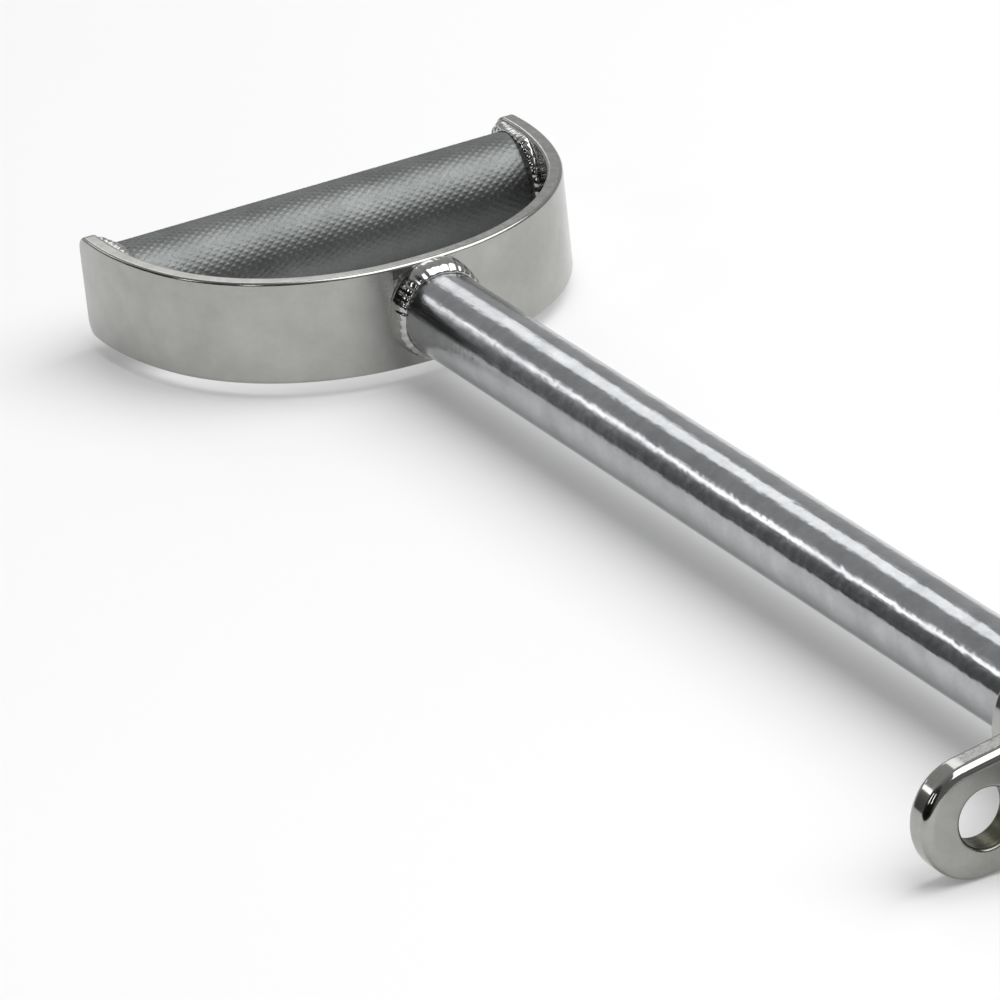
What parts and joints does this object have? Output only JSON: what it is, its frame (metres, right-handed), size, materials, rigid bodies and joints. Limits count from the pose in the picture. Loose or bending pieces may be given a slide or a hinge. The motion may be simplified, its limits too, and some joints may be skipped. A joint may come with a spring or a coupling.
{
  "type": "cable pull bar",
  "caption": "Straight pull bar for a cable machine, with a D-shaped stirrup and knurled grip at each end and a revolving eye hanger in the middle.",
  "frame": {"origin": "middle of the bar, on its axis, which is the middle of the bounding box", "axes": "+X along the bar towards the right stirrup, +Z square to the plane of the two stirrups, so that the hanger's eye lies towards -Y at rest"},
  "size_m": [0.9268, 0.1448, 0.0413],
  "materials": {
    "plated_bar": "chrome plate over a bar with fine lengthwise grain",
    "plated_strip": "chrome plate over hot-rolled flat strip, slightly satin",
    "plated_steel": "polished chrome plate",
    "plated_weld": "chrome plate over rippled weld bead",
    "knurled_grip": "chrome plate over diamond knurl",
    "bush_bronze": "sintered bronze, oil filled",
    "black_screw": "black oxide"
  },
  "bodies": {
    "bar_assembly": {"bar": "plated_bar", "left_stirrup": "plated_strip", "left_grip": "knurled_grip", "left_grip_weld_front": "plated_weld", "left_grip_weld_rear": "plated_weld", "left_bar_weld": "plated_weld", "left_collar": "plated_steel", "left_set_screw": "black_screw", "right_stirrup": "plated_strip", "right_grip": "knurled_grip", "right_grip_weld_front": "plated_weld", "right_grip_weld_rear": "plated_weld", "right_bar_weld": "plated_weld", "right_collar": "plated_steel", "right_set_screw": "black_screw"},
    "hanger": {"hub": "plated_steel", "left_bush": "bush_bronze", "right_bush": "bush_bronze", "eye_plate": "plated_steel", "eye_weld_left": "plated_weld", "eye_weld_right": "plated_weld"}
  },
  "joints": [
    {"name": "hanger_swivel", "type": "hinge", "parent": "bar_assembly", "child": "hanger", "pos_m": [0, 0, 0], "axis": [1, 0, 0], "continuous": true}
  ]
}
